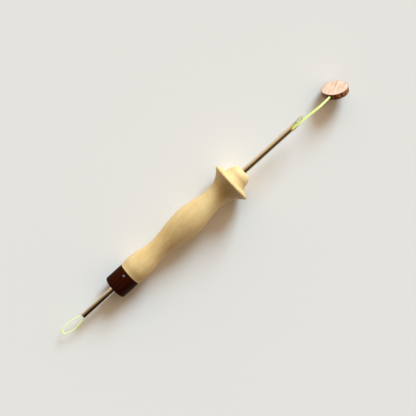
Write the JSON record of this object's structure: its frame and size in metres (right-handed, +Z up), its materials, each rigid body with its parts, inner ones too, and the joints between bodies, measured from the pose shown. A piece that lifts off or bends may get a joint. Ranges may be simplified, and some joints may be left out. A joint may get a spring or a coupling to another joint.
{
  "type": "adjustable punch needle",
  "caption": "Hand punch needle: turned wooden handle with bell flange and dark end cap, sliding hollow steel needle with a bevelled tip and eye, and a looped line threader with a wooden disc.",
  "frame": {"origin": "on the table, under the middle of the tool without its threader: the middle of the needle tube's length, at the level of the flange's rim and the cap's rear edge, on which the tool lies", "axes": "+Z up from the table; +X level, along the tool from its looped rear end to its bevelled tip; +Y level, to the left when looking from the handle to the tip. The tool's own axis rises 3.33 degrees from +X towards the tip."},
  "size_m": [0.2391, 0.0274, 0.0273],
  "materials": {
    "handle_wood": "pale turned wood under clear satin varnish",
    "dark_wood": "very dark brown hardwood, satin",
    "bush_brass": "turned",
    "screw_steel": "plain",
    "needle_steel": "polished stainless tube",
    "disc_wood": "bare sliced wood",
    "neon_line": "clear fluorescent yellow-green monofilament"
  },
  "bodies": {
    "handle": {"handle": "handle_wood", "end_cap": "dark_wood", "clamp_bush": "bush_brass"},
    "screw": {"grub_screw": "screw_steel"},
    "needle": {"needle_tube": "needle_steel"},
    "threader": {"threader_disc": "disc_wood", "threader_line": "neon_line"}
  },
  "joints": [
    {"name": "needle_slide", "type": "slide", "parent": "handle", "child": "needle", "axis": [0.9983, 0, 0.058], "range_m": [-0.03, 0.02]},
    {"name": "screw_turn", "type": "hinge", "parent": "handle", "child": "screw", "pos_m": [-0.05516, 0, 0.00857], "axis": [-0.0569, 0.1908, 0.98], "range_deg": [0, 270]},
    {"name": "threader_slide", "type": "slide", "parent": "needle", "child": "threader", "axis": [0.9983, 0, 0.058], "range_m": [-0.006, 0]}
  ]
}
